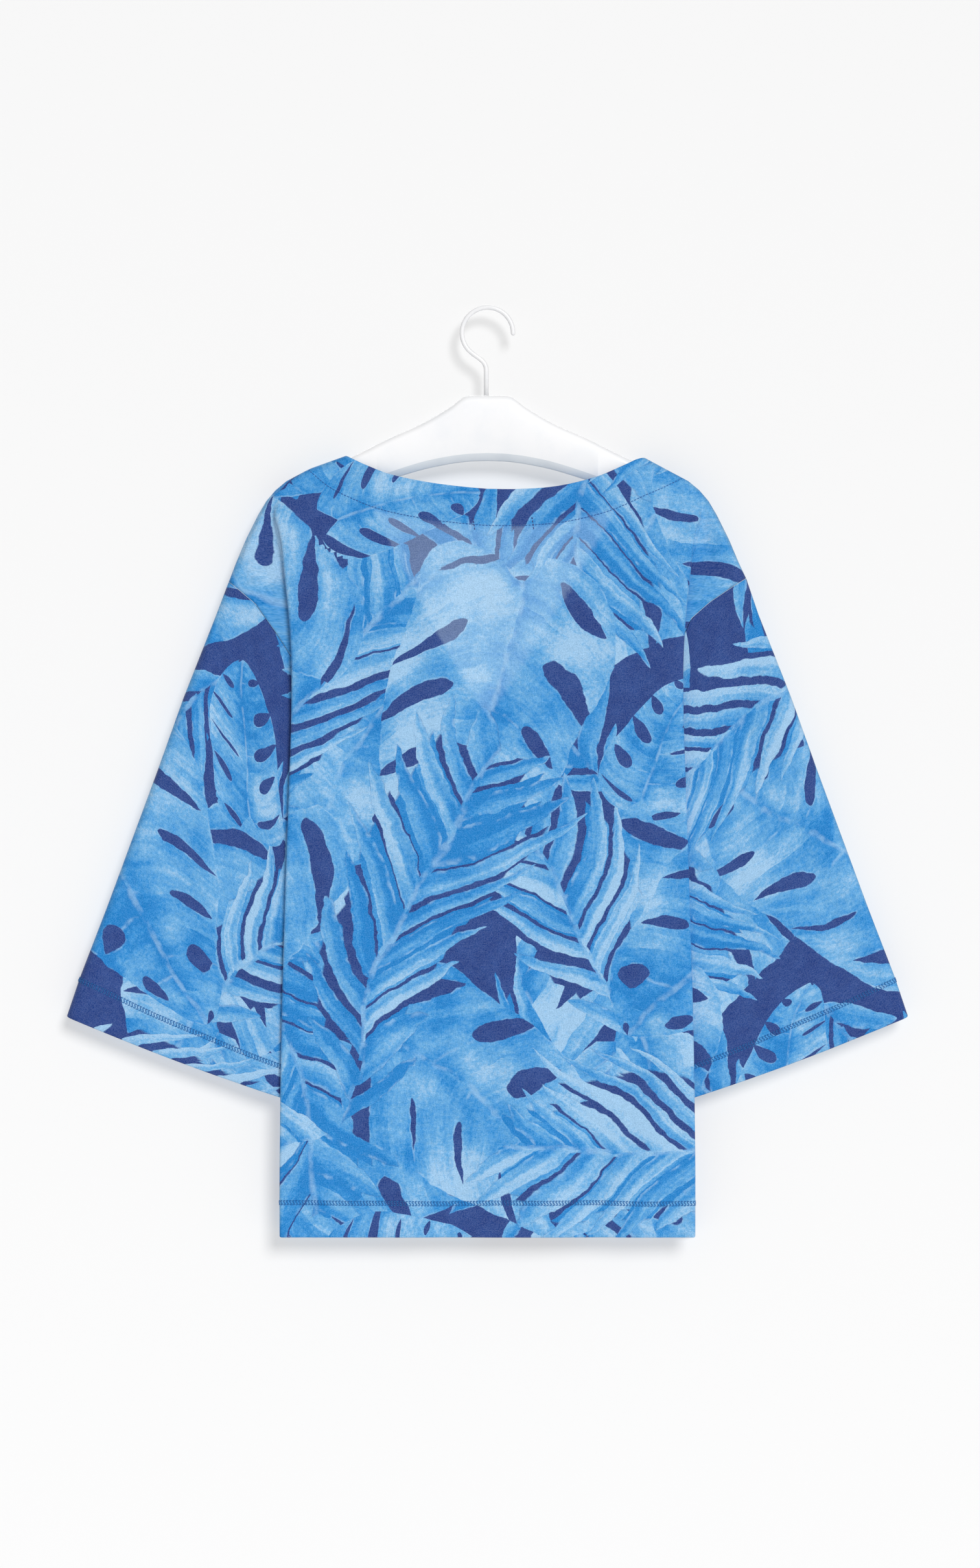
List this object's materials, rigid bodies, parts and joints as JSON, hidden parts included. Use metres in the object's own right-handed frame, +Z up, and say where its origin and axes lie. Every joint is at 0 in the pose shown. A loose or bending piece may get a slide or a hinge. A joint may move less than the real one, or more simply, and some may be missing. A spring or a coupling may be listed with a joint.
{
  "type": "linen blouse on a hanger",
  "caption": "Loose V-neck blouse with wide elbow-length sleeves in a leaf print, hanging back to front on a flat plastic hanger with a wire hook.",
  "frame": {"origin": "top of the inside of the hanger's hook, where a rod or peg carries it", "axes": "+Z up, +X along the shoulders towards the wearer's right, +Y from the blouse's back to its front"},
  "size_m": [0.6916, 0.028, 0.7644],
  "materials": {
    "back_linen": "blue leaf print on fine linen",
    "front_linen": "blue leaf print on fine linen",
    "sleeve_linen": "blue leaf print on fine linen",
    "hanger_plastic": "satin white moulding",
    "hook_wire": "white coated wire"
  },
  "bodies": {
    "root": {"back": "back_linen", "front": "front_linen", "sleeve_left": "sleeve_linen", "sleeve_right": "sleeve_linen", "hanger_body": "hanger_plastic", "hanger_hook": "hook_wire"}
  },
  "joints": []
}
